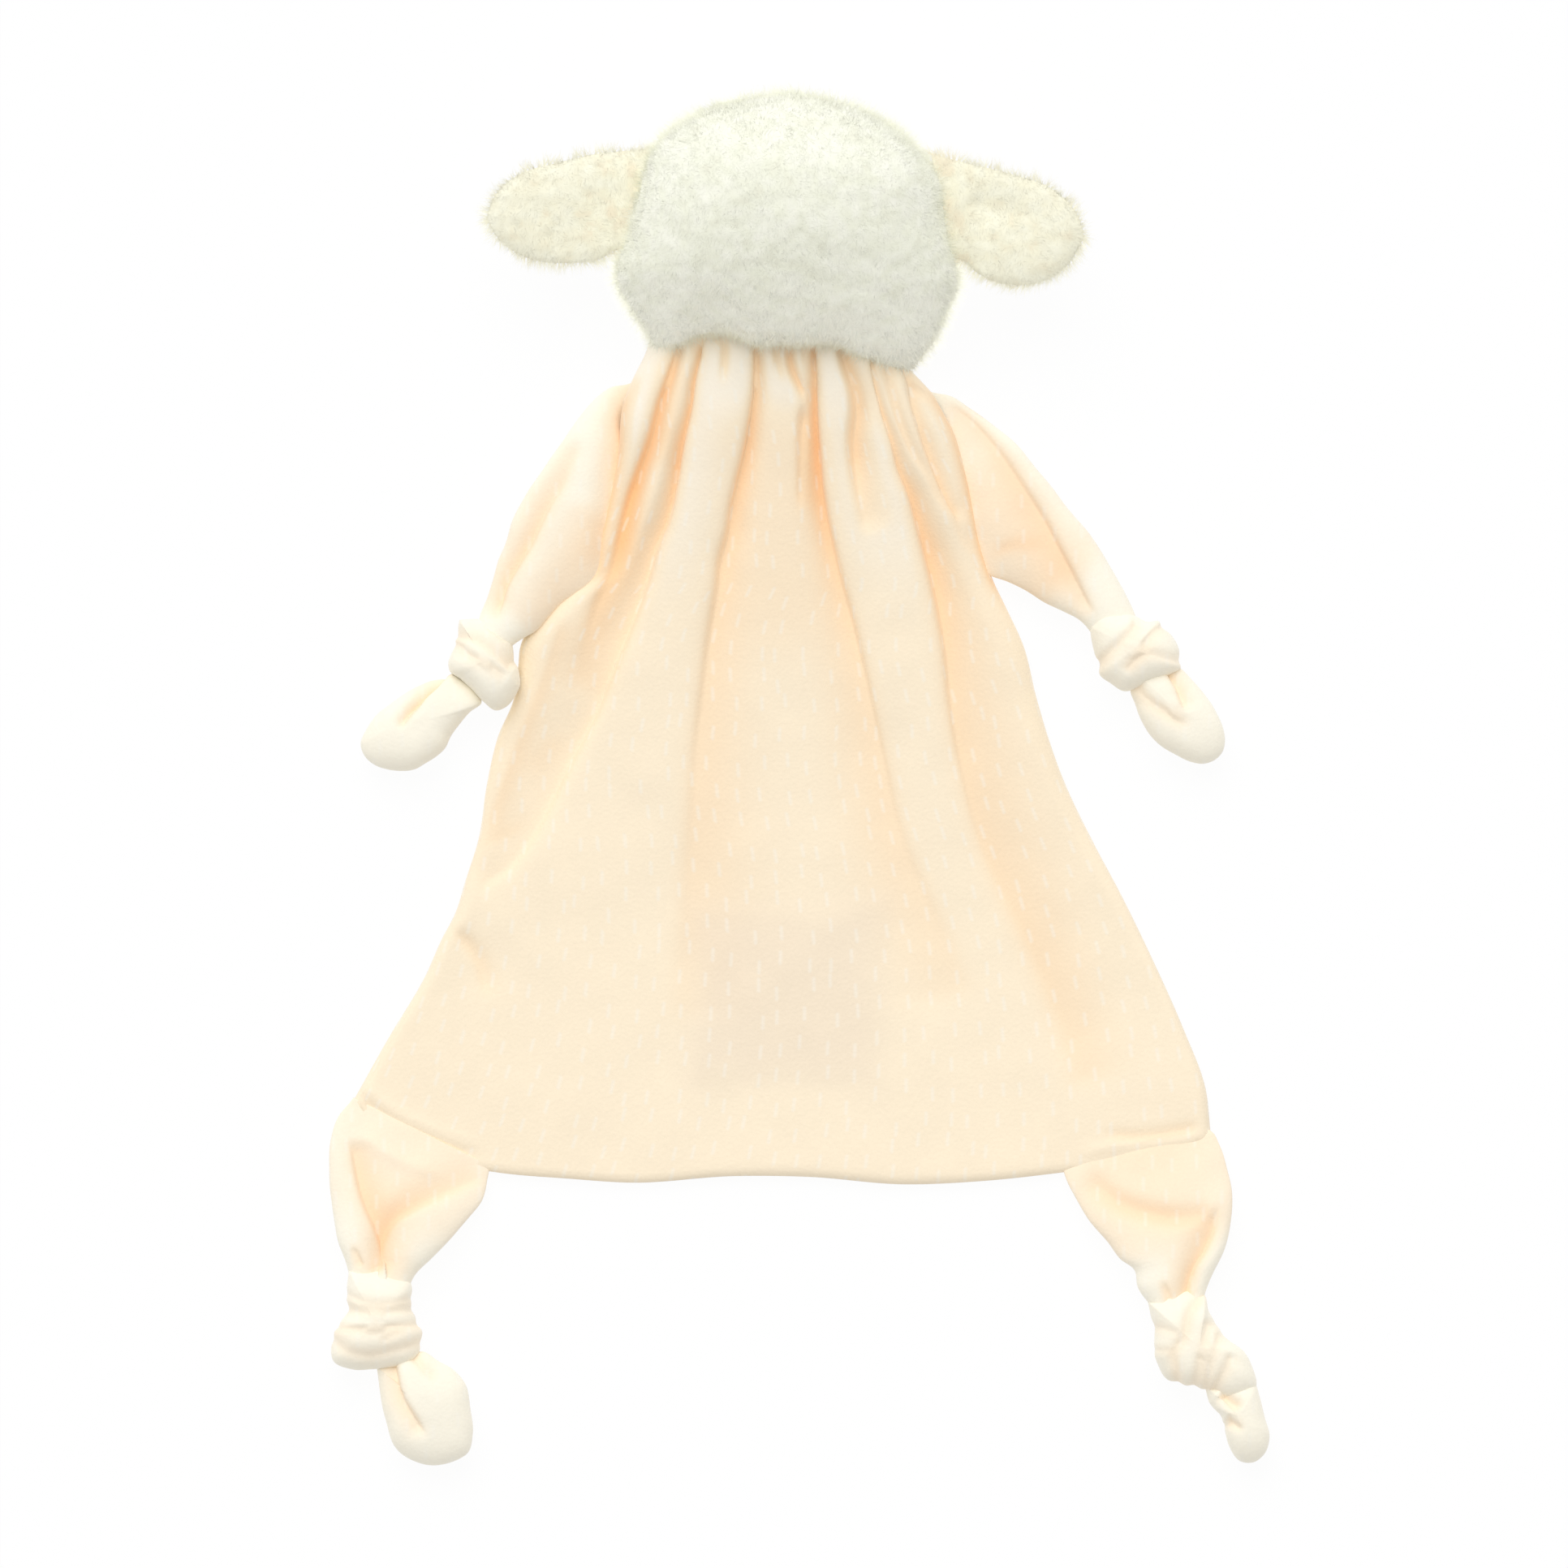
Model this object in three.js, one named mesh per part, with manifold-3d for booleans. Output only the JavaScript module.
// A baby's comforter: a stuffed lamb's head on a two-layer velour body with four knotted limbs.
// It lies face down on z = 0. +Y points to the top of the head and +Z out of the toy's back.
// Left and right are the viewer's, looking down on the back.
// Everything is drawn from the middle of the neck line, and the last lines move the origin
// to the middle of the box that the toy fills, on the surface that it lies on.

import * as THREE from "three";
import { mergeVertices } from "three/addons/utils/BufferGeometryUtils.js";
import Module from "manifold-3d";

const wasm = await Module();
wasm.setup();

// Cloth, thread and clearances, in millimetres
const VELOUR = 1.2; // one layer of body cloth
const PLUSH = 2.6; // backing and pile of the head and ears
const BACKING = 0.8; // stiff cloth sewn behind the front's motif
const EMBROIDERY = 1.2; // raised stitching of the eyes and nose
const THREAD = 0.9; // diameter of the gathering thread
const THREAD_KNOT = 2.4; // diameter of the knots that stop it
const GAP = 0.3; // clearance between neighbouring pieces
const FLAT = 0.5; // how deep the resting head is pressed flat
const OVERRUN = 5; // how far a cut runs past what it cuts
const MERGE = 0.001; // points closer than this are one point

// Body
const BODY_LENGTH = 200; // neck line to hem
const HEM_WIDTH = 211.4; // hip to hip
const NECK_WIDTH = 66.6; // across the gathers
const ARMPIT_DROP = 54; // neck line to armpits
const NECK_HEIGHT = 13; // neck line above the ground
const NECK_THICKNESS = 7; // both layers, gathered
const NECK_BLEND = 50; // length over which the front comes down to the ground
const ARMPIT_BLEND = 26; // the same for the sides, below the armpits
const FOLD_HEIGHT = 6; // tallest fold of the back
const PATCH_WIDTH = 45;
const PATCH_LENGTH = 42;
const PATCH_DROP = 156; // neck line to the patch's middle

// Neck roll: the gathered hem that is sewn into the head
const ROLL_RADIUS = 4.5;
const PLEAT_DEPTH = 0.7;

// Head and ears
const HEAD_WIDTH = 85.4;
const HEAD_LENGTH = 66.6;
const HEAD_DEPTH = 54;
const HEAD_SHIFT = 2.9; // the head sits a little to the right of the neck's middle
const HEAD_START = 0.6; // the plush's edge, above the neck line
const EYE_RADIUS = 3.4;
const NOSE_WIDTH = 11;
const NOSE_LENGTH = 7;
const EAR_THICKNESS = 6.6;
const EAR_BEAD = 2.5; // radius of an ear's sewn root
const LEFT_EAR_LENGTH = 33.2;
const RIGHT_EAR_LENGTH = 31.9;
const EAR_DROOP = 3; // an ear's tip hangs this far below its root

// Limbs: root to the middle of the knot, the knot, and the tail past it
const ARM_BEAD = 3; // radius of a sleeve's sewn root
const LEG_BEAD = 2.5;
const ARM_ROOT_RISE = 2.8; // an arm's root climbs this much towards the neck
const SLEEVE_THICKNESS = 11;
const TAIL_THICKNESS = 9.4;
const TAIL_BALL = 4; // radius of the cloth where a tail leaves its knot
const LEFT_ARM_REACH = 54.1;
const RIGHT_ARM_REACH = 60.9;
const LEFT_LEG_REACH = 43.2;
const RIGHT_LEG_REACH = 43.4;
const LEFT_HAND_LENGTH = 26.2;
const RIGHT_HAND_LENGTH = 21.8;
const LEFT_FOOT_LENGTH = 26.7;
const RIGHT_FOOT_LENGTH = 21.4;
const ARM_KNOT = { length: 20, width: 21, thickness: 16 };
const LEFT_LEG_KNOT = { length: 26, width: 22, thickness: 16 };
const RIGHT_LEG_KNOT = { length: 26, width: 21, thickness: 16 };

// Materials
const finish = (color, roughness) =>
  new THREE.MeshStandardMaterial({ color, roughness, metalness: 0 });
const plush = finish(0xf2f1e2, 1);
const faceCloth = finish(0xf6f0e2, 0.9);
const velour = finish(0xfae6c8, 0.9);
const stitching = finish(0x6b5348, 0.8);
const filling = finish(0xfafafa, 1);
const backing = finish(0xf0ddd0, 0.9);
const thread = finish(0xf4ead8, 0.8);

// Numbers
const mix = (a, b, share) => a + (b - a) * share;
const clamp = (value) => Math.min(1, Math.max(0, value));
const ease = (value) => clamp(value) ** 2 * (3 - 2 * clamp(value));
const radians = THREE.MathUtils.degToRad;
const point = (x, y, z) => new THREE.Vector3(x, y, z);

// Reads a table of [place, value, ...] rows at a place, straight between its rows
function readShares(table, place, column) {
  let row = 1;
  while (row < table.length - 1 && table[row][0] < place) row += 1;
  const [low, high] = [table[row - 1], table[row]];
  return mix(low[column], high[column], clamp((place - low[0]) / (high[0] - low[0])));
}

// Solids

// A closed solid from any closed three.js geometry
function solidOf(geometry) {
  const bare = new THREE.BufferGeometry();
  bare.setAttribute("position", geometry.getAttribute("position"));
  bare.setIndex(geometry.index);
  const merged = mergeVertices(bare, MERGE);
  const corners = merged.index.array;
  const triVerts = [];
  for (let i = 0; i < corners.length; i += 3) {
    const [a, b, c] = corners.slice(i, i + 3);
    if (a !== b && b !== c && c !== a) triVerts.push(a, b, c);
  }
  const mesh = new wasm.Mesh({
    numProp: 3,
    vertProperties: merged.attributes.position.array,
    triVerts: new Uint32Array(triVerts),
  });
  return new wasm.Manifold(mesh);
}

// Turns a shell of points and faces so that its faces point out, and makes it a solid
function solidFrom(points, faces) {
  let volume = 0;
  for (const [a, b, c] of faces) {
    const normal = new THREE.Vector3().crossVectors(points[b], points[c]);
    volume += points[a].dot(normal);
  }
  const outward = volume > 0 ? faces : faces.map(([a, b, c]) => [a, c, b]);
  const geometry = new THREE.BufferGeometry().setFromPoints(points);
  geometry.setIndex(outward.flat());
  return solidOf(geometry);
}

// A solid through a row of rings that have the same number of points, with its ends closed
function loft(rings) {
  const size = rings[0].length;
  const points = rings.flat();
  const faces = [];
  for (let ring = 0; ring < rings.length - 1; ring += 1) {
    for (let i = 0; i < size; i += 1) {
      const a = ring * size + i;
      const b = ring * size + ((i + 1) % size);
      faces.push([a, b, b + size], [a, b + size, a + size]);
    }
  }
  for (const ring of [0, rings.length - 1]) {
    const middle = new THREE.Vector3();
    rings[ring].forEach((corner) => middle.addScaledVector(corner, 1 / size));
    const hub = points.push(middle) - 1;
    for (let i = 0; i < size; i += 1) {
      const pair = [ring * size + i, ring * size + ((i + 1) % size)];
      faces.push(ring === 0 ? [hub, pair[1], pair[0]] : [hub, ...pair]);
    }
  }
  return solidFrom(points, faces);
}

// A sheet between two grids of points that have the same rows and columns
function sheet(upper, lower) {
  const rows = upper.length;
  const columns = upper[0].length;
  const points = [...upper.flat(), ...lower.flat()];
  const faces = [];
  const top = (row, column) => row * columns + column;
  const bottom = (row, column) => rows * columns + top(row, column);
  const quad = (a, b, c, d) => faces.push([a, b, c], [a, c, d]);
  for (let row = 0; row < rows - 1; row += 1) {
    for (let column = 0; column < columns - 1; column += 1) {
      const square = [
        [row, column],
        [row, column + 1],
        [row + 1, column + 1],
        [row + 1, column],
      ];
      quad(...square.map((corner) => top(...corner)));
      quad(...square.map((corner) => bottom(...corner)).reverse());
    }
  }
  const rim = [];
  for (let column = 0; column < columns - 1; column += 1) rim.push([0, column]);
  for (let row = 0; row < rows - 1; row += 1) rim.push([row, columns - 1]);
  for (let column = columns - 1; column > 0; column -= 1) rim.push([rows - 1, column]);
  for (let row = rows - 1; row > 0; row -= 1) rim.push([row, 0]);
  rim.forEach((from, i) => {
    const to = rim[(i + 1) % rim.length];
    quad(bottom(...from), bottom(...to), top(...to), top(...from));
  });
  return solidFrom(points, faces);
}

// A round bar between two points
function bar(from, to, radius) {
  const along = new THREE.Vector3().subVectors(to, from);
  const geometry = new THREE.CylinderGeometry(radius, radius, along.length(), 16);
  const turn = new THREE.Quaternion().setFromUnitVectors(
    point(0, 1, 0),
    along.clone().normalize(),
  );
  geometry.applyQuaternion(turn);
  geometry.translate(...new THREE.Vector3().addVectors(from, to).divideScalar(2));
  return geometry;
}

function ball(centre, radius) {
  return new THREE.SphereGeometry(radius, 12, 8).translate(...centre);
}

// The node's mesh, from a solid drawn in its parent group's frame
function addNode(parent, name, solid, material) {
  const { vertProperties, triVerts } = solid.getMesh();
  const geometry = new THREE.BufferGeometry();
  geometry.setAttribute("position", new THREE.BufferAttribute(vertProperties, 3));
  geometry.setIndex(new THREE.BufferAttribute(triVerts, 1));
  const mesh = new THREE.Mesh(geometry, material);
  mesh.name = name;
  parent.add(mesh);
}

const comforter = new THREE.Group();
// Each joint's axis, as two points. A positive turn about it lifts what it carries.
const pivots = {};
const liftAxis = (side, ends) => (side === "left" ? [ends[1], ends[0]] : ends);

// Body panels

// Where the arms are sewn on: shares of the neck's width across, and of the armpit's drop down
const armRootShares = {
  left: [
    [-0.5225, 0.163],
    [-0.659, 1],
  ],
  right: [
    [0.5946, 0.163],
    [0.731, 1],
  ],
};
// Where the hips are, and the inner ends of the leg seams: shares of the hem and body length
const hipShares = { left: [-0.492, 0.91], right: [0.508, 0.955] };
// The side edges from armpit to hip: [down, across]
const leftEdgeShares = [
  [0, 0],
  [0.06, 0.05],
  [0.125, 0.25],
  [0.1875, 0.355],
  [0.258, 0.403],
  [0.367, 0.45],
  [0.516, 0.49],
  [0.617, 0.591],
  [0.742, 0.7],
  [0.875, 0.858],
  [1, 1],
];
const rightEdgeShares = [
  [0, 0],
  [0.03, 0.1],
  [0.088, 0.209],
  [0.212, 0.307],
  [0.365, 0.4216],
  [0.474, 0.536],
  [0.562, 0.64],
  [0.679, 0.765],
  [0.81, 0.895],
  [0.912, 0.977],
  [1, 1],
];
// The hem: [across, drop]. Its first and last straight runs are the leg seams.
const hemShares = [
  [0, 0.91],
  [0.156, 0.998],
  [0.326, 1.012],
  [0.44, 1.003],
  [0.535, 1.005],
  [0.64, 1.015],
  [0.83, 1],
  [1, 0.955],
];
const LEFT_SEAM_SHARE = hemShares[1][0];
const RIGHT_SEAM_SHARE = hemShares[6][0];

// Arm roots, as bars from the neck end to the armpit
const armRoots = {};
for (const side of ["left", "right"]) {
  armRoots[side] = armRootShares[side].map(([across, down], end) => {
    const height = ROLL_RADIUS + GAP / 2 + ARM_ROOT_RISE * (1 - end) + ARM_BEAD / 4;
    return point(across * NECK_WIDTH, -down * ARMPIT_DROP, height);
  });
}

// The body's side edge beside an arm's root, at a drop below the neck
function shoulderEdge(side, drop) {
  const [top, bottom] = armRoots[side];
  const share = (-drop - top.y) / (bottom.y - top.y);
  const slant = Math.hypot(bottom.x - top.x, bottom.y - top.y) / Math.abs(bottom.y - top.y);
  const inward = side === "left" ? 1 : -1;
  return mix(top.x, bottom.x, share) + inward * (ARM_BEAD + GAP) * slant;
}

// Neck to armpits is level 0 to 1, and armpits to hem is level 1 to 2
const ARMPIT_LEVEL = 1;
const WAIST_LEVEL = 1.5;
const HEM_LEVEL = 2;
const ARMPIT_ZONE = 0.15; // levels over which the shoulder's edge comes down
const HEM_ZONE = 0.2; // levels over which the layers close towards the hem
const NECK_EDGE = ROLL_RADIUS + GAP;
function bodyPlan(across, level) {
  if (level <= ARMPIT_LEVEL) {
    const drop = mix(NECK_EDGE, ARMPIT_DROP, level);
    return [mix(shoulderEdge("left", drop), shoulderEdge("right", drop), across), -drop];
  }
  const down = level - ARMPIT_LEVEL;
  const [leftHip, rightHip] = [hipShares.left[0] * HEM_WIDTH, hipShares.right[0] * HEM_WIDTH];
  const leftX = mix(
    shoulderEdge("left", ARMPIT_DROP),
    leftHip,
    readShares(leftEdgeShares, down, 1),
  );
  const rightX = mix(
    shoulderEdge("right", ARMPIT_DROP),
    rightHip,
    readShares(rightEdgeShares, down, 1),
  );
  const hem = readShares(hemShares, across, 1) * BODY_LENGTH;
  return [mix(leftX, rightX, across), -mix(ARMPIT_DROP, hem, down)];
}

// Height of the front layer's outer face, which lies on the ground from the chest down
function undersideAt(across, level) {
  const drop = -bodyPlan(across, level)[1];
  const middle =
    (NECK_HEIGHT - NECK_THICKNESS / 2) * (1 - ease((drop - NECK_EDGE) / NECK_BLEND));
  const side = across < 0.5 ? "left" : "right";
  const [top, bottom] = armRoots[side];
  const share = (drop + top.y) / (top.y - bottom.y);
  const beside = mix(top.z, bottom.z, clamp(share)) - ARM_BEAD;
  const edge = beside * (1 - ease((drop - ARMPIT_DROP) / ARMPIT_BLEND));
  return mix(middle, edge, Math.abs(2 * across - 1) ** 3);
}

// Room between the two layers: bare at their sewn edges, wide enough inside for the patch
function roomAt(across, level) {
  const inside = ease(across / 0.15) * ease((1 - across) / 0.15);
  const closing = ease((HEM_LEVEL - level) / HEM_ZONE);
  return GAP + (BACKING + GAP) * inside * ease(level) * closing;
}

// Valleys between the folds of the back, as shares across at the neck, armpits, waist and hem,
// each with its depth there, and the side that drops steeply
const valleyShares = [
  { across: [0.113, 0.05, 0.04, 0.03], depth: [1, 1, 0.3, 0], steep: "both" },
  { across: [0.22, 0.15, 0.175, 0.1], depth: [1, 0.8, 0.5, 0.1], steep: "right" },
  { across: [0.417, 0.335, 0.36, 0.38], depth: [1, 1, 0.35, 0.05], steep: "left" },
  { across: [0.476, 0.44, 0.45, 0.46], depth: [0.6, 0, 0, 0], steep: "both" },
  { across: [0.524, 0.49, 0.52, 0.54], depth: [0.6, 0, 0, 0], steep: "both" },
  { across: [0.604, 0.563, 0.62, 0.68], depth: [1, 1, 0.45, 0.05], steep: "right" },
  { across: [0.768, 0.71, 0.72, 0.77], depth: [1, 0.6, 0, 0], steep: "both" },
  { across: [0.86, 0.886, 0.81, 0.85], depth: [0.8, 1, 0.7, 0.1], steep: "left" },
  { across: [0.9, 0.93, 0.9, 0.92], depth: [0.8, 0.2, 0, 0], steep: "both" },
  { across: [0.945, 0.965, 0.96, 0.96], depth: [0.7, 0.5, 0, 0], steep: "both" },
];
// Columns of points between one valley and the next, as shares of the way
const columnShares = [
  [0, 0.35, 0.7],
  [0, 0.3, 0.55, 0.8],
  [0, 0.22, 0.5, 0.8],
  [0, 0.35, 0.7],
  [0, 0.5],
  [0, 0.35, 0.7],
  [0, 0.22, 0.5, 0.78],
  [0, 0.3, 0.6, 0.82],
  [0, 0.5],
  [0, 0.5],
  [0, 0.5, 1],
];
const FOLD_TOP_SHARES = [0.72, 1, 0.85, 0.2]; // fold height at the same four levels
const STEEP_SHARE = 0.24;
const GENTLE_SHARE = 0.5;

// Reads four values at neck, armpits, waist and hem, and eases between them
const foldLevels = [0, ARMPIT_LEVEL, WAIST_LEVEL, HEM_LEVEL];
function readLevels(values, level) {
  let stage = 0;
  while (stage < foldLevels.length - 2 && foldLevels[stage + 1] < level) stage += 1;
  const [low, high] = foldLevels.slice(stage, stage + 2);
  return mix(values[stage], values[stage + 1], ease((level - low) / (high - low)));
}

// A side's slope at a valley, as a share of the way to the next valley
function slopeShare(valley, side) {
  if (!valley) return GENTLE_SHARE;
  return valley.steep === side || valley.steep === "both" ? STEEP_SHARE : GENTLE_SHARE;
}

// One row of the back's points: across shares and fold heights from 0 to 1
function foldRow(level) {
  const row = [];
  columnShares.forEach((shares, i) => {
    const [low, high] = [valleyShares[i - 1], valleyShares[i]];
    const start = low ? readLevels(low.across, level) : 0;
    const end = high ? readLevels(high.across, level) : 1;
    const lowDepth = low ? readLevels(low.depth, level) : 0;
    const highDepth = high ? readLevels(high.depth, level) : 0;
    for (const share of shares) {
      const rising = Math.exp(-((share / slopeShare(low, "right")) ** 2));
      const falling = Math.exp(-(((1 - share) / slopeShare(high, "left")) ** 2));
      const height = (1 - lowDepth * rising) * (1 - highDepth * falling);
      row.push({ across: mix(start, end, share), height });
    }
  });
  return row;
}

// What the back stands up by at its edges, so that it meets the limbs' roots
function edgeLift(across, level) {
  const seamed = 2 * VELOUR + GAP;
  const below = ease((level - ARMPIT_LEVEL) / ARMPIT_ZONE);
  const shoulder = (2 * ARM_BEAD - seamed) * (1 - below);
  const left = ease((LEFT_SEAM_SHARE - across) / 0.02);
  const right = ease((across - RIGHT_SEAM_SHARE) / 0.02);
  const closing = 1 - ease((HEM_LEVEL - level) / HEM_ZONE);
  const seam = (2 * LEG_BEAD - seamed) * Math.max(left, right) * closing;
  return Math.max(shoulder, seam);
}

const rowShares = [0, 0.1, 0.26, 0.46, 0.72, 1];
const lowerRowShares = [0.1, 0.2, 0.33, 0.47, 0.6, 0.73, 0.85, 0.94, 1];
const levels = [...rowShares, ...lowerRowShares.map((share) => ARMPIT_LEVEL + share)];

function backPanel() {
  const upper = [];
  const lower = [];
  for (const level of levels) {
    const folds = foldRow(level);
    const grid = folds.map(({ across, height }) => {
      const [x, y] = bodyPlan(across, level);
      const base = undersideAt(across, level) + VELOUR + roomAt(across, level);
      const edge = edgeLift(across, level);
      const top = readLevels(FOLD_TOP_SHARES, level) * FOLD_HEIGHT;
      const ramp = ease(across / 0.05) * ease((1 - across) / 0.05);
      return point(x, y, base + VELOUR + edge + Math.max(top - edge, 0) * ramp * height);
    });
    upper.push(grid);
    lower.push(grid.map((corner) => point(corner.x, corner.y, corner.z - VELOUR)));
  }
  return sheet(upper, lower);
}

const FRONT_COLUMNS = 16;
function frontPanel() {
  const upper = [];
  const lower = [];
  for (const level of levels) {
    const grid = [];
    for (let column = 0; column <= FRONT_COLUMNS; column += 1) {
      const across = column / FRONT_COLUMNS;
      const [x, y] = bodyPlan(across, level);
      grid.push(point(x, y, undersideAt(across, level)));
    }
    lower.push(grid);
    upper.push(grid.map((corner) => point(corner.x, corner.y, corner.z + VELOUR)));
  }
  return sheet(upper, lower);
}

function innerPatch() {
  const geometry = new THREE.BoxGeometry(PATCH_WIDTH, PATCH_LENGTH, BACKING);
  geometry.translate(HEAD_SHIFT * 2, -PATCH_DROP, VELOUR + GAP + BACKING / 2);
  return solidOf(geometry);
}

addNode(comforter, "front_panel", frontPanel(), velour);
addNode(comforter, "back_panel", backPanel(), velour);
addNode(comforter, "inner_backing_patch", innerPatch(), backing);

// Head

// [along the head, half width, half depth, rise of the middle above the neck]
const headShares = [
  [0, 0.76, 0.26, 0],
  [0.075, 0.83, 0.5, 0.25],
  [0.175, 0.915, 0.72, 0.5],
  [0.265, 0.985, 0.85, 0.72],
  [0.33, 0.99, 0.92, 0.84],
  [0.435, 0.95, 0.98, 0.95],
  [0.555, 0.906, 1, 1],
  [0.675, 0.864, 0.97, 1],
  [0.795, 0.766, 0.85, 1],
  [0.885, 0.585, 0.66, 1],
  [0.945, 0.398, 0.46, 1],
  [0.985, 0.2, 0.24, 1],
  [1, 0.05, 0.06, 1],
];
const HEAD_MIDDLE = HEAD_DEPTH / 2 - FLAT;
const headHalfWidth = (y) => (readShares(headShares, y / HEAD_LENGTH, 1) * HEAD_WIDTH) / 2;
const HEAD_SIDES = 24;

// The head's form, drawn in by an inset. Its neck end runs past the plush's edge if open.
function headForm(inset, start) {
  const rings = headShares.map(([along, wide, deep, rise], ring) => {
    const y = ring === 0 ? start : mix(HEAD_START, HEAD_LENGTH - inset, along);
    const halfWidth = Math.max((wide * HEAD_WIDTH) / 2 - inset, MERGE + inset / 4);
    const halfDepth = Math.max((deep * HEAD_DEPTH) / 2 - inset, MERGE + inset / 4);
    const middle = mix(NECK_HEIGHT, HEAD_MIDDLE, rise);
    return Array.from({ length: HEAD_SIDES }, (_, i) => {
      const angle = (2 * Math.PI * i) / HEAD_SIDES;
      const x = HEAD_SHIFT + halfWidth * Math.cos(angle);
      return point(x, y, middle + halfDepth * Math.sin(angle));
    });
  });
  return loft(rings);
}

// A block that covers one side of the sloping seam between the plush and the face cloth
function seamBlock(above) {
  const size = 2 * (HEAD_WIDTH + HEAD_LENGTH + HEAD_DEPTH);
  const geometry = new THREE.BoxGeometry(size, size, size);
  const side = above ? 1 : -1;
  geometry.translate(0, 0, side * (size / 2 + GAP / 2));
  geometry.rotateX(Math.atan2(HEAD_MIDDLE - NECK_HEIGHT, HEAD_LENGTH));
  geometry.translate(0, 0, NECK_HEIGHT);
  return solidOf(geometry);
}

// The half space above the ground
function groundBlock() {
  const size = 2 * (HEAD_WIDTH + HEAD_LENGTH + HEAD_DEPTH);
  return solidOf(new THREE.BoxGeometry(size, size, size).translate(0, 0, size / 2));
}

const headGroup = new THREE.Group();
comforter.add(headGroup);
pivots.neck_nod = [point(0, 0, NECK_HEIGHT), point(NECK_WIDTH / 2, 0, NECK_HEIGHT)];

// Ears

const earShares = {
  left: {
    angle: -173.1,
    length: LEFT_EAR_LENGTH,
    // [edge nearer the crown: along, across; edge nearer the neck: along, across; thickness]
    rows: [
      [0.12, -0.38, 0.18, 0.4, 1],
      [0.42, -0.35, 0.46, 0.42, 1],
      [0.7, -0.31, 0.72, 0.35, 0.95],
      [0.9, -0.21, 0.91, 0.23, 0.75],
      [1, -0.06, 0.99, 0.08, 0.4],
    ],
  },
  right: {
    angle: -11.6,
    length: RIGHT_EAR_LENGTH,
    rows: [
      [0.1, 0.37, 0.24, -0.46, 1],
      [0.39, 0.35, 0.53, -0.5, 1],
      [0.65, 0.32, 0.8, -0.4, 0.95],
      [0.87, 0.2, 0.95, -0.23, 0.75],
      [0.99, 0.05, 1, -0.05, 0.4],
    ],
  },
};
const EAR_ROOT_SHARES = [0.755, 0.39]; // the ends of an ear's root, along the head

// How full a flattened tube is, from one edge (0) to the other (1)
const fullness = (share) => Math.sqrt(Math.max(0, 1 - Math.abs(2 * share - 1) ** 2.6));

const acrossShares = [0, 0.07, 0.18, 0.31, 0.44, 0.57, 0.7, 0.83, 0.94, 1];
const underShares = [0.85, 0.6, 0.35, 0.12];

// A ring round a flattened tube between two edge points, with a groove along its upper side
function tubeRing(from, to, halfThickness, groove) {
  const at = (share, height) =>
    new THREE.Vector3().lerpVectors(from, to, share).add(point(0, 0, height));
  const upper = acrossShares.map((share) => {
    const dip = groove
      ? groove.depth * Math.exp(-(((share - groove.at) / groove.width) ** 2))
      : 0;
    return at(share, halfThickness * fullness(share) * (1 - dip));
  });
  const under = underShares.map((share) => at(share, -halfThickness * fullness(share)));
  return [...upper, ...under];
}

// A group's frame: at the middle of a root, with +X turned to an angle about +Z
function placeAt(group, parent, centre, angle) {
  group.position.copy(centre);
  group.rotation.z = radians(angle);
  parent.add(group);
  group.updateMatrix();
  comforter.updateMatrixWorld(true);
}

const earSockets = [];
for (const side of ["left", "right"]) {
  const { angle, length, rows } = earShares[side];
  const outward = side === "left" ? -1 : 1;
  const root = EAR_ROOT_SHARES.map((share) => {
    const y = share * HEAD_LENGTH;
    const x = HEAD_SHIFT + outward * (headHalfWidth(y) + EAR_BEAD * 0.8);
    return point(x, y, HEAD_MIDDLE);
  });
  pivots[side + "_ear_flap"] = liftAxis(side, root);
  earSockets.push(bar(...root, EAR_BEAD + GAP));
  const ear = new THREE.Group();
  placeAt(ear, headGroup, new THREE.Vector3().lerpVectors(...root, 0.5), angle);
  const ends = root.map((end) => ear.worldToLocal(end.clone()));
  const rings = rows.map(([x1, y1, x2, y2, thick], row) => {
    const fall = -EAR_DROOP * ease((row + 1) / rows.length);
    const crown = point(x1 * length, y1 * length, fall);
    const neck = point(x2 * length, y2 * length, fall);
    return tubeRing(crown, neck, (thick * EAR_THICKNESS) / 2);
  });
  // The plush is the upper half and the root; the velour lining is the lower half
  const upper = [tubeRing(...ends, EAR_BEAD), ...rings].map((ring) => splitRing(ring, true));
  const lower = rings.map((ring) => splitRing(ring, false));
  const rootBar = bar(...ends, EAR_BEAD);
  addNode(ear, side + "_ear_back", loft(upper).add(solidOf(rootBar)), plush);
  const clear = solidOf(bar(...ends, EAR_BEAD + GAP));
  addNode(ear, side + "_ear_lining", loft(lower).subtract(clear), faceCloth);
}

// One half of a ring, above or below the line between its two edges
function splitRing(ring, above) {
  const count = acrossShares.length;
  const [from, to] = [ring[0], ring[count - 1]];
  const half = GAP / 2;
  if (above) {
    const line = [0.8, 0.5, 0.2].map((share) =>
      new THREE.Vector3().lerpVectors(from, to, share).add(point(0, 0, half)),
    );
    const lift = ring.slice(0, count).map((corner) => {
      const base = mix(from.z, to.z, 0.5) + half;
      return point(corner.x, corner.y, Math.max(corner.z, base));
    });
    return [...lift, ...line];
  }
  const line = [0.2, 0.5, 0.8].map((share) =>
    new THREE.Vector3().lerpVectors(from, to, share).add(point(0, 0, -half)),
  );
  const under = ring.slice(count).map((corner) => {
    const base = mix(from.z, to.z, 0.5) - half;
    return point(corner.x, corner.y, Math.min(corner.z, base));
  });
  const edge = (corner) => point(corner.x, corner.y, corner.z - half);
  return [edge(from), ...line, edge(to), ...under];
}

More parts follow.
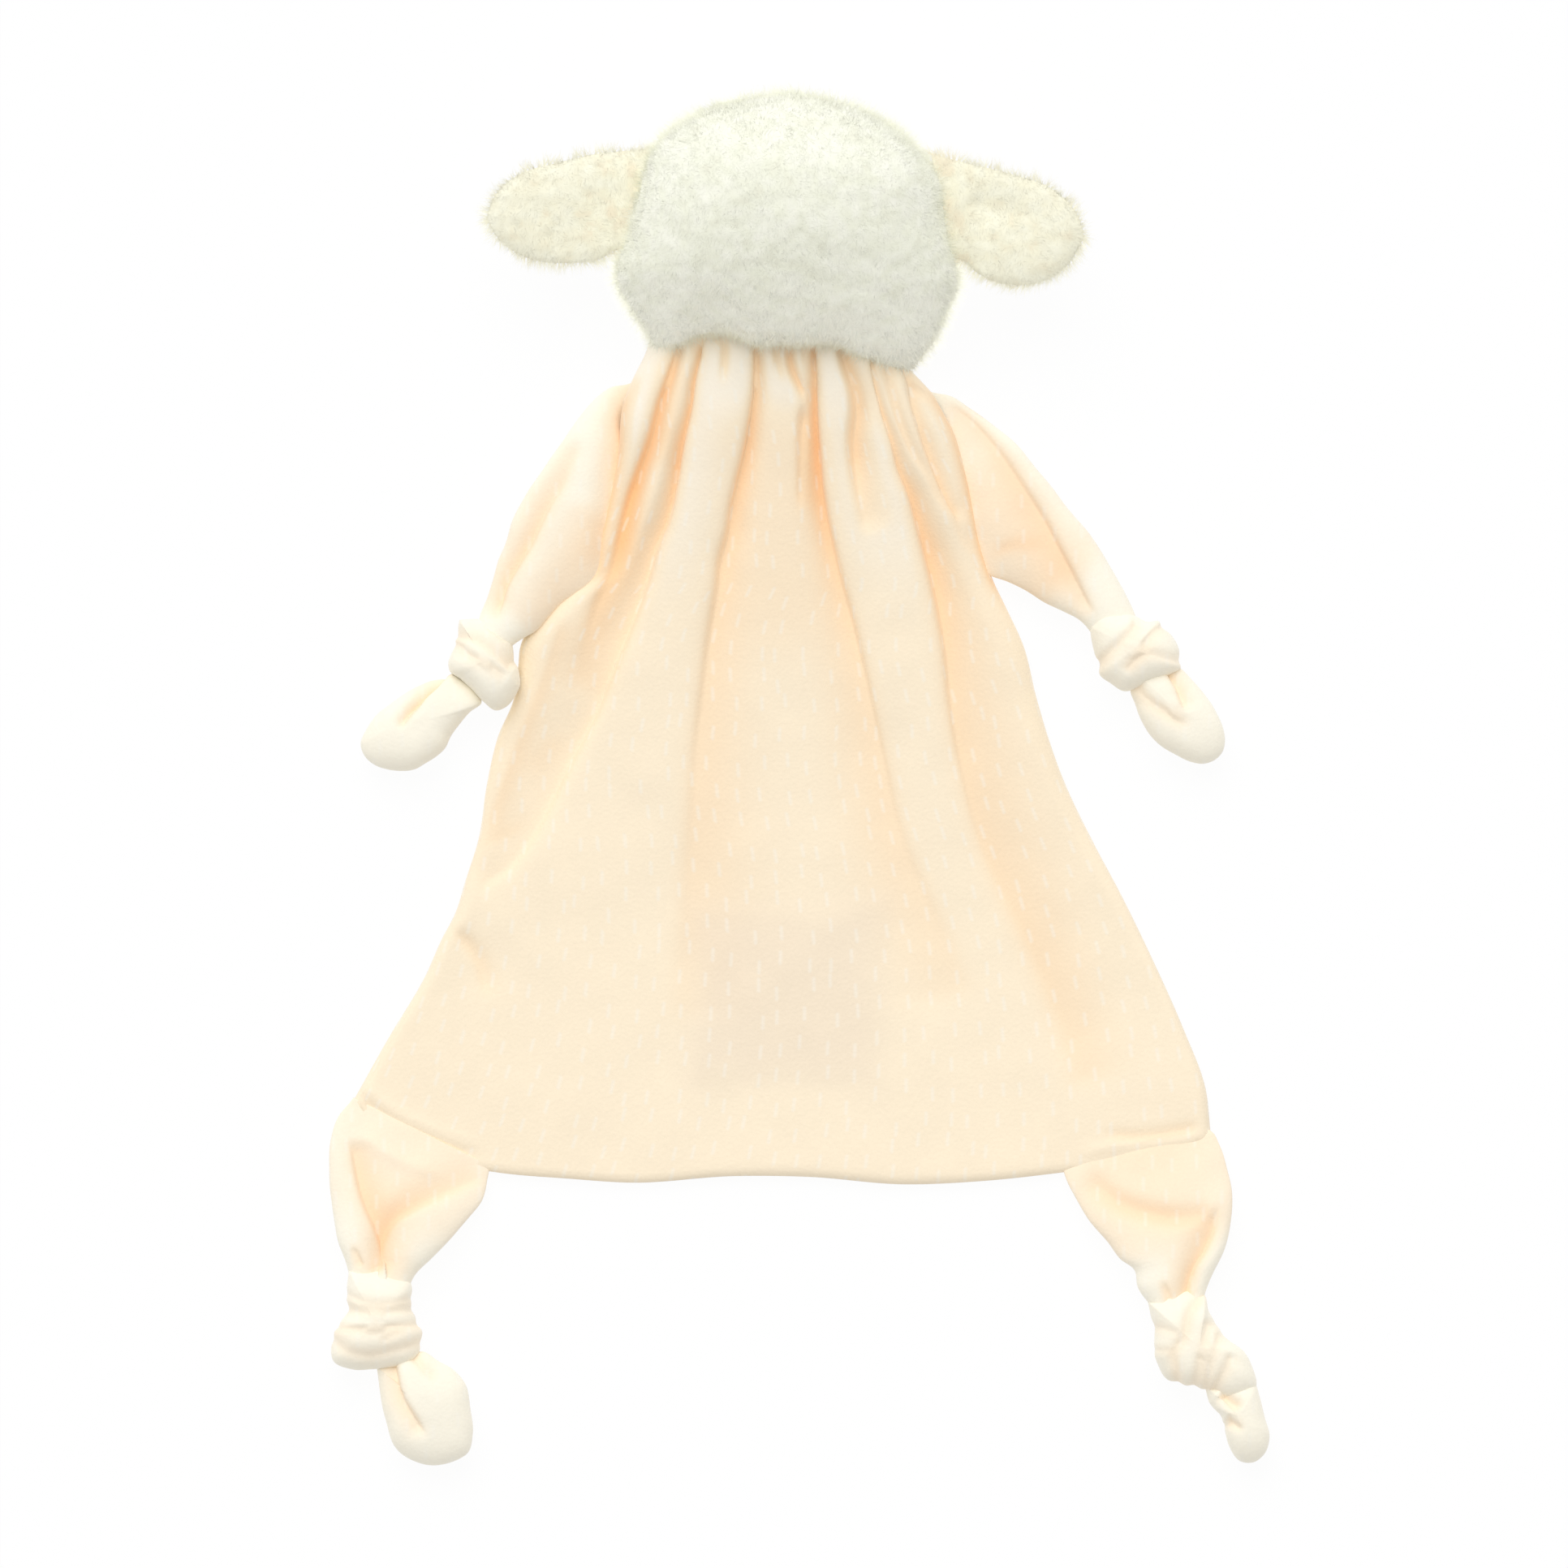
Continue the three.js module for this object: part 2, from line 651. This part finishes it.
// Neck roll and its gathering thread
const NECK_HALF = NECK_WIDTH / 2 - GAP - THREAD_KNOT;
function neckRoll() {
  const bore = THREAD / 2 + GAP;
  const outer = [];
  valleyShares.forEach((valley, i) => {
    const next = valleyShares[i + 1];
    outer.push([valley.across[0], ROLL_RADIUS - PLEAT_DEPTH]);
    if (next) outer.push([(valley.across[0] + next.across[0]) / 2, ROLL_RADIUS]);
  });
  const along = (share) => (2 * share - 1) * NECK_HALF;
  const profile = [
    [-NECK_HALF, bore],
    [-NECK_HALF, ROLL_RADIUS - 2 * PLEAT_DEPTH],
    [along(0.05), ROLL_RADIUS],
    ...outer.map(([share, radius]) => [along(share), radius]),
    [along(0.97), ROLL_RADIUS],
    [NECK_HALF, ROLL_RADIUS - 2 * PLEAT_DEPTH],
    [NECK_HALF, bore],
    [-NECK_HALF, bore],
  ];
  const points = profile.map(([x, radius]) => new THREE.Vector2(radius, x));
  const geometry = new THREE.LatheGeometry(points, 12);
  geometry.rotateZ(-Math.PI / 2);
  geometry.translate(HEAD_SHIFT, 0, NECK_HEIGHT);
  return solidOf(geometry);
}

function neckThread() {
  const reach = NECK_HALF + GAP + THREAD_KNOT / 2;
  const ends = [-reach, reach].map((x) => point(HEAD_SHIFT + x, 0, NECK_HEIGHT));
  return solidOf(bar(...ends, THREAD / 2))
    .add(solidOf(ball(ends[0], THREAD_KNOT / 2)))
    .add(solidOf(ball(ends[1], THREAD_KNOT / 2)));
}

function rollRoom() {
  const ends = [-NECK_WIDTH, NECK_WIDTH].map((x) => point(HEAD_SHIFT + x, 0, NECK_HEIGHT));
  return solidOf(bar(...ends, ROLL_RADIUS + GAP));
}

// Embroidered eyes and nose, on the face that the toy lies on: [across, along]
const faceShares = { left_eye: [-0.34, 0.54], right_eye: [0.34, 0.54], nose: [0, 0.38] };
function featurePost(name, grow) {
  const [across, along] = faceShares[name];
  const wide = name === "nose" ? NOSE_WIDTH / 2 : EYE_RADIUS;
  const long = name === "nose" ? NOSE_LENGTH / 2 : EYE_RADIUS;
  const geometry = new THREE.CylinderGeometry(1, 1, HEAD_MIDDLE, 20).rotateX(Math.PI / 2);
  geometry.scale(wide + grow, long + grow, 1);
  const x = HEAD_SHIFT + (across * HEAD_WIDTH) / 2;
  geometry.translate(x, along * HEAD_LENGTH, HEAD_MIDDLE / 2 - FLAT);
  return solidOf(geometry);
}

function buildHead() {
  const ground = groundBlock();
  const outside = headForm(0, HEAD_START).intersect(ground);
  const inside = headForm(PLUSH, HEAD_START - OVERRUN);
  const room = rollRoom();
  let shell = outside.subtract(inside).subtract(room);
  earSockets.forEach((socket) => {
    shell = shell.subtract(solidOf(socket));
  });
  addNode(headGroup, "head_back", shell.intersect(seamBlock(true)), plush);
  let face = shell.intersect(seamBlock(false));
  const under = outside.subtract(headForm(EMBROIDERY, HEAD_START));
  const recess = outside.subtract(headForm(EMBROIDERY + GAP, HEAD_START));
  for (const name of Object.keys(faceShares)) {
    addNode(headGroup, name, under.intersect(featurePost(name, 0)), stitching);
    face = face.subtract(recess.intersect(featurePost(name, GAP)));
  }
  addNode(headGroup, "head_face", face, faceCloth);
  const stuffing = headForm(PLUSH + GAP, HEAD_START + GAP).subtract(room);
  addNode(headGroup, "head_stuffing", stuffing.intersect(ground), filling);
  addNode(headGroup, "neck_gather", neckRoll(), velour);
  addNode(headGroup, "neck_thread", neckThread(), thread);
}
buildHead();

// Limbs

// Leg roots lie along the leg seams, a bead's radius and a gap outside the cloth
function legRoot(side) {
  const ends = side === "left" ? [0, LEFT_SEAM_SHARE] : [1, RIGHT_SEAM_SHARE];
  const [hip, inner] = ends.map((across) => point(...bodyPlan(across, HEM_LEVEL), LEG_BEAD));
  const along = new THREE.Vector3().subVectors(inner, hip).normalize();
  const outward = point(along.y, -along.x, 0);
  if (outward.y > 0) outward.negate();
  return [hip, inner].map((end) => end.clone().addScaledVector(outward, LEG_BEAD + GAP));
}

// Each row of a sleeve or tail is [first edge: along, across; second edge: along, across;
// height of its middle; thickness], and a groove is a fold's valley along it
const limbs = {
  left_arm: {
    root: armRoots.left,
    bead: ARM_BEAD,
    angle: -126.3,
    reach: LEFT_ARM_REACH,
    knot: ARM_KNOT,
    groove: { at: 0.26, width: 0.13, depth: 0.75 },
    sleeveShares: [
      [-0.23, -0.28, 0.46, 0.14, 0.62, 0.72],
      [0, -0.27, 0.56, 0.11, 0.6, 0.88],
      [0.28, -0.23, 0.67, 0.09, 0.6, 0.96],
      [0.54, -0.18, 0.77, 0.07, 0.65, 1],
      [0.79, -0.12, 0.87, 0.08, 0.72, 0.98],
    ],
    bandShares: [
      [-0.3, 20, 0.86],
      [0.02, -24, 1],
      [0.27, 36, 0.92],
    ],
    hingeShares: [0.49, -0.06],
    tail: "left_hand_loop",
    tailAngle: -135,
    tailLength: LEFT_HAND_LENGTH,
    tailGroove: { at: 0.45, width: 0.1, depth: 0.8 },
    tailShares: [
      [0.3, -0.25, 0.27, 0.22, 0.8, 0.9],
      [0.48, -0.35, 0.41, 0.25, 0.62, 1],
      [0.73, -0.34, 0.63, 0.26, 0.52, 1],
      [0.93, -0.28, 0.83, 0.2, 0.5, 0.92],
      [1.02, -0.13, 0.94, 0.09, 0.46, 0.6],
    ],
  },
  right_arm: {
    root: armRoots.right,
    bead: ARM_BEAD,
    angle: -43.1,
    reach: RIGHT_ARM_REACH,
    knot: ARM_KNOT,
    groove: { at: 0.5, width: 0.22, depth: 0.5 },
    sleeveShares: [
      [-0.15, 0.28, 0.4, -0.15, 0.62, 0.72],
      [0.08, 0.26, 0.49, -0.11, 0.6, 0.88],
      [0.33, 0.2, 0.6, -0.08, 0.6, 0.96],
      [0.58, 0.15, 0.7, -0.06, 0.65, 1],
      [0.85, 0.1, 0.82, -0.07, 0.72, 0.98],
    ],
    bandShares: [
      [-0.27, -16, 0.92],
      [0.03, 34, 1],
      [0.27, -30, 0.9],
    ],
    hingeShares: [0.49, -0.04],
    tail: "right_hand_loop",
    tailAngle: -58.2,
    tailLength: RIGHT_HAND_LENGTH,
    tailGroove: { at: 0.5, width: 0.12, depth: 0.8 },
    tailShares: [
      [0.3, 0.29, 0.32, -0.28, 0.8, 0.9],
      [0.55, 0.33, 0.4, -0.37, 0.62, 1],
      [0.82, 0.3, 0.62, -0.34, 0.52, 1],
      [0.98, 0.21, 0.82, -0.23, 0.5, 0.9],
      [1.05, 0.11, 0.96, -0.12, 0.46, 0.6],
    ],
  },
  left_leg: {
    root: legRoot("left"),
    bead: LEG_BEAD,
    angle: -102.3,
    reach: LEFT_LEG_REACH,
    knot: LEFT_LEG_KNOT,
    groove: { at: 0.34, width: 0.16, depth: 0.7 },
    sleeveShares: [
      [0.05, -0.45, 0.25, 0.4, 0.3, 0.52],
      [0.26, -0.43, 0.38, 0.34, 0.4, 0.68],
      [0.5, -0.36, 0.51, 0.27, 0.5, 0.82],
      [0.67, -0.27, 0.66, 0.2, 0.6, 0.92],
      [0.78, -0.18, 0.78, 0.14, 0.68, 0.96],
    ],
    bandShares: [
      [-0.25, 6, 0.84],
      [0.04, -8, 0.9],
      [0.27, 5, 1],
    ],
    hingeShares: [0.4, 0.34],
    tail: "left_foot_tail",
    tailAngle: -67.1,
    tailLength: LEFT_FOOT_LENGTH,
    tailGroove: { at: 0.4, width: 0.18, depth: 0.6 },
    tailShares: [
      [0.26, -0.25, 0.33, 0.36, 0.8, 0.85],
      [0.42, -0.31, 0.52, 0.46, 0.62, 1],
      [0.6, -0.33, 0.74, 0.4, 0.52, 1],
      [0.8, -0.26, 0.92, 0.35, 0.5, 0.9],
      [0.93, -0.14, 1.02, 0.16, 0.46, 0.6],
    ],
  },
  right_leg: {
    root: legRoot("right"),
    bead: LEG_BEAD,
    angle: -74.2,
    reach: RIGHT_LEG_REACH,
    knot: RIGHT_LEG_KNOT,
    groove: { at: 0.22, width: 0.13, depth: 0.65 },
    sleeveShares: [
      [0.19, 0.43, 0.17, -0.41, 0.3, 0.52],
      [0.37, 0.4, 0.33, -0.35, 0.4, 0.68],
      [0.54, 0.33, 0.47, -0.28, 0.5, 0.82],
      [0.68, 0.22, 0.62, -0.2, 0.6, 0.92],
      [0.79, 0.13, 0.76, -0.16, 0.68, 0.96],
    ],
    bandShares: [
      [-0.25, -26, 0.88],
      [0.03, 30, 1],
      [0.26, -18, 0.9],
    ],
    hingeShares: [0.49, 0.12],
    tail: "right_foot_tail",
    tailAngle: -72.8,
    tailLength: RIGHT_FOOT_LENGTH,
    tailGroove: { at: 0.6, width: 0.16, depth: 0.7 },
    tailShares: [
      [0.3, 0.29, 0.28, -0.24, 0.8, 0.85],
      [0.5, 0.31, 0.4, -0.2, 0.62, 1],
      [0.7, 0.29, 0.58, -0.19, 0.52, 1],
      [0.89, 0.23, 0.77, -0.18, 0.5, 0.9],
      [1.01, 0.11, 0.95, -0.1, 0.46, 0.6],
    ],
  },
};

// A knot: a core with bands of cloth wound round it, each [shift, tilt in degrees, size].
// It is drawn in the limb's frame, and grown by a length to cut room for itself.
function knotSolid({ knot, bandShares, reach }, grow) {
  const [long, wide, deep] = [knot.length / 2, knot.width / 2, knot.thickness / 2];
  const core = new THREE.SphereGeometry(1, 14, 8).rotateX(Math.PI / 2);
  core.scale(...[long * 0.9, wide * 0.76, deep * 0.82].map((size) => size + grow));
  core.translate(reach, 0, deep);
  let solid = solidOf(core);
  for (const [shift, tilt, size] of bandShares) {
    const round = wide * size;
    const band = new THREE.TorusGeometry(round * 0.66, round * 0.34 + grow, 7, 16);
    band.rotateY(Math.PI / 2);
    band.scale(1, 1, (deep / wide) * Math.min(1, 1 / size));
    band.rotateZ(radians(tilt));
    band.translate(reach + shift * knot.length, 0, deep);
    solid = solid.add(solidOf(band));
  }
  return solid;
}

// The space past a knot's mouth, which its tail swings through
function mouthBlock({ knot }, exit, turn) {
  const size = 2 * (knot.length + knot.width + knot.thickness);
  const geometry = new THREE.BoxGeometry(size, size, size);
  geometry.translate(size / 2, 0, 0);
  return solidOf(geometry.rotateZ(turn).translate(...exit));
}

for (const [name, limb] of Object.entries(limbs)) {
  const { root, angle, reach, knot, bead } = limb;
  const group = new THREE.Group();
  const middle = new THREE.Vector3().lerpVectors(...root, 0.5);
  placeAt(group, comforter, point(middle.x, middle.y, 0), angle);
  const ends = root.map((end) => group.worldToLocal(end.clone()));
  pivots[name + "_lift"] = liftAxis(name.split("_")[0], root);

  const sleeveRings = [tubeRing(...ends, bead)];
  for (const [x1, y1, x2, y2, height, thick] of limb.sleeveShares) {
    const z = height * SLEEVE_THICKNESS;
    const first = point(x1 * reach, y1 * reach, z);
    const second = point(x2 * reach, y2 * reach, z);
    const half = Math.min((thick * SLEEVE_THICKNESS) / 2, z);
    sleeveRings.push(tubeRing(first, second, half, limb.groove));
  }
  const sleeve = loft(sleeveRings).add(solidOf(bar(...ends, bead)));
  addNode(group, name + "_sleeve", sleeve.subtract(knotSolid(limb, 2 * GAP)), velour);

  const exit = point(
    reach + limb.hingeShares[0] * knot.length,
    limb.hingeShares[1] * knot.width,
    knot.thickness / 2,
  );
  const turn = radians(limb.tailAngle - angle);
  const mouth = solidOf(ball(exit, TAIL_BALL + GAP)).add(mouthBlock(limb, exit, turn));
  addNode(group, name + "_knot", knotSolid(limb, 0).subtract(mouth), velour);

  const hand = new THREE.Group();
  placeAt(hand, group, exit, limb.tailAngle - angle);
  const firstSide = Math.sign(limb.tailShares[0][1]);
  const throat = [firstSide, -firstSide].map((side) =>
    point(TAIL_BALL / 4, side * TAIL_BALL * 0.8, 0),
  );
  const tailRings = [tubeRing(...throat, TAIL_BALL * 0.85)];
  for (const [x1, y1, x2, y2, height, thick] of limb.tailShares) {
    const z = height * TAIL_THICKNESS - exit.z;
    const half = Math.min((thick * TAIL_THICKNESS) / 2, height * TAIL_THICKNESS);
    const first = point(x1 * limb.tailLength, y1 * limb.tailLength, z);
    const second = point(x2 * limb.tailLength, y2 * limb.tailLength, z);
    tailRings.push(tubeRing(first, second, half, limb.tailGroove));
  }
  const tail = loft(tailRings).add(solidOf(ball(point(0, 0, 0), TAIL_BALL)));
  addNode(hand, limb.tail, tail, velour);
  const hinge = group.localToWorld(exit.clone());
  pivots[limb.tail + "_swing"] = [hinge, hinge.clone().add(point(0, 0, exit.z))];
}

// The origin: under the middle of the toy's box
comforter.updateMatrixWorld(true);
const box = new THREE.Box3().setFromObject(comforter, true);
const origin = box.getCenter(new THREE.Vector3()).setZ(box.min.z);
comforter.position.sub(origin);
for (const axis of Object.values(pivots)) axis.forEach((end) => end.sub(origin));
comforter.userData = { pivots, size: box.getSize(new THREE.Vector3()) };

export default comforter;
